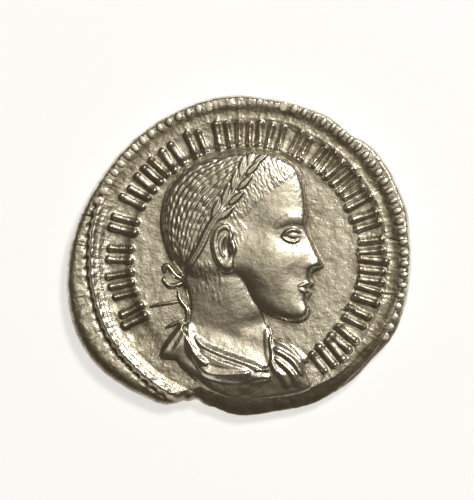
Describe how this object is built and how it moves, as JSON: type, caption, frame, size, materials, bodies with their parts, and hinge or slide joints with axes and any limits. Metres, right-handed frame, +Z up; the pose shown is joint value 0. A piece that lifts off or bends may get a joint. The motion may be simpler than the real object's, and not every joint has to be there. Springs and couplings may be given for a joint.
{
  "type": "silver denarius coin",
  "caption": "Struck silver coin with a laureate draped bust facing right, a bead border, plain strokes for legend and a standing figure on the reverse.",
  "frame": {"origin": "middle of the coin's outline, on the ground plane that its reverse rests on", "axes": "+Z up out of the obverse, through the coin's thickness; +X to the right of the upright bust, the way it faces; +Y to the bust's crown"},
  "size_m": [0.02, 0.0188, 0.0021],
  "materials": {
    "worn_silver": "worn, warm-toned debased silver, bright on the high points and dull brown in the hollows"
  },
  "bodies": {
    "root": {"denarius_coin": "worn_silver"}
  },
  "joints": []
}
